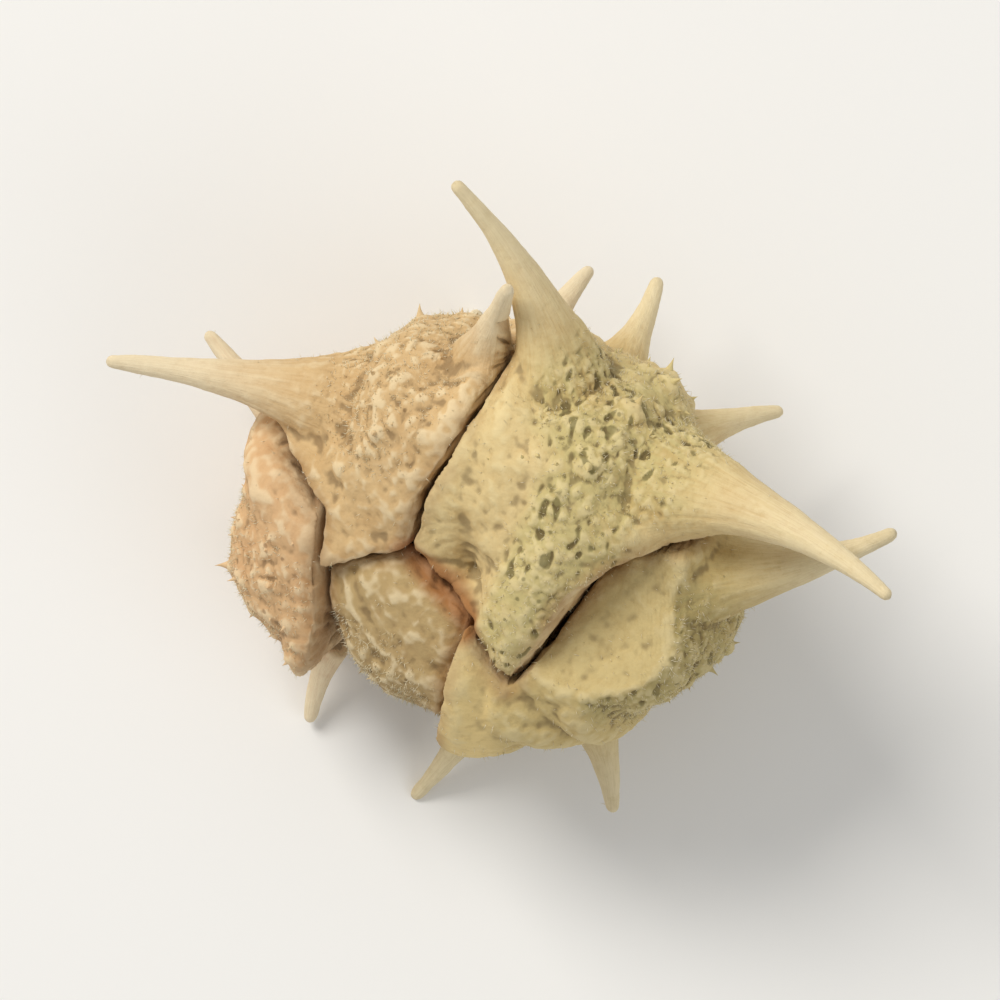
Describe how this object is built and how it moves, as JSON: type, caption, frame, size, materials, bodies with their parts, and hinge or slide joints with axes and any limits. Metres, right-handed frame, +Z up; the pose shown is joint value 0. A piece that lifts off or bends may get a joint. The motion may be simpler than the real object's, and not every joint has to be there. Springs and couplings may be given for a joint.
{
  "type": "puncturevine burr",
  "caption": "Dry whole fruit of puncturevine: woody wedge-shaped nutlets round one axis, with paired long spines, short lower spines and warty backs.",
  "frame": {"origin": "centre of the bounding box in X and Y, on the surface that the burr stands on", "axes": "+Z up from that surface; +X along the burr's longest extent, from one pair of long spines to the opposite ones"},
  "size_m": [0.0138, 0.011, 0.0096],
  "materials": {
    "green_back": "dry, matte, yellow-green woody rind with fine short hairs",
    "straw_wood": "dry, matte, straw-coloured woody rind",
    "ochre_wood": "dry, matte, ochre woody rind"
  },
  "bodies": {
    "root": {"nutlet_1": "green_back", "nutlet_2": "straw_wood", "nutlet_3": "ochre_wood", "nutlet_4": "straw_wood", "nutlet_5": "green_back"}
  },
  "joints": []
}
